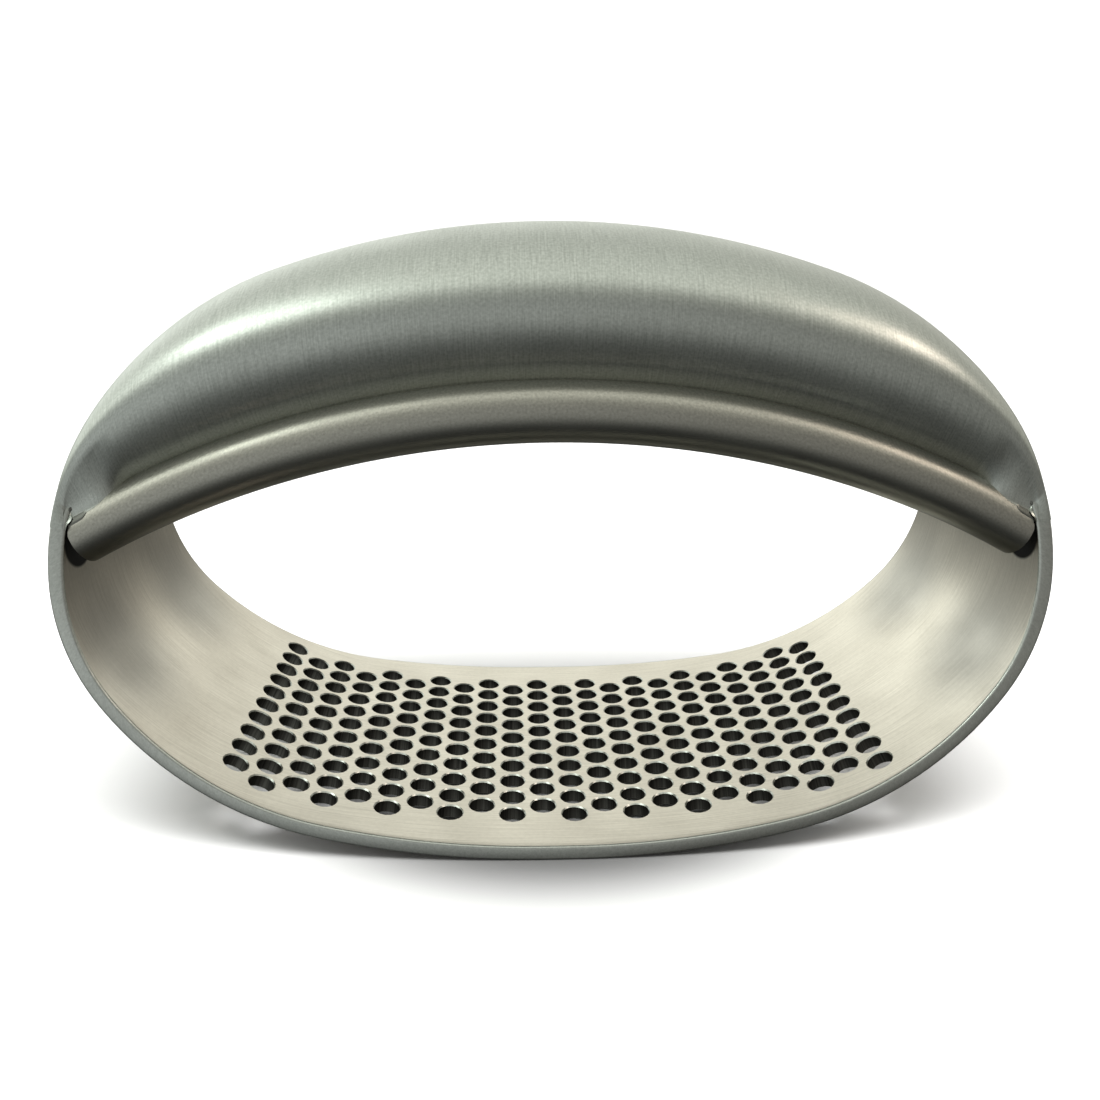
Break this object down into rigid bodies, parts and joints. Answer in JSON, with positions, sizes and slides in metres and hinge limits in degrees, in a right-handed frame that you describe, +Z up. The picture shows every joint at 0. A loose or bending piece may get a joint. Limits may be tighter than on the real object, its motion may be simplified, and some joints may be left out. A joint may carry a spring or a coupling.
{
  "type": "garlic press",
  "caption": "Rocking garlic press: a perforated steel plate bent up into two walls, closed above by a hollow domed handle with rolled lower edges.",
  "frame": {"origin": "on the surface the press stands on, under the middle of the plate", "axes": "+Z up, +X along the press from one wall to the other, +Y from front to back"},
  "size_m": [0.1042, 0.0452, 0.0642],
  "materials": {
    "satin_plate_steel": "satin, fine lengthwise brushing",
    "brushed_shell_steel": "brushed across the handle",
    "rolled_liner_steel": "satin with a fine mottled grain"
  },
  "bodies": {
    "root": {"rocker_plate": "satin_plate_steel", "handle_shell": "brushed_shell_steel", "grip_liner": "rolled_liner_steel", "corner_tab_front_left": "brushed_shell_steel", "corner_tab_front_right": "brushed_shell_steel", "corner_tab_rear_left": "brushed_shell_steel", "corner_tab_rear_right": "brushed_shell_steel"}
  },
  "joints": []
}
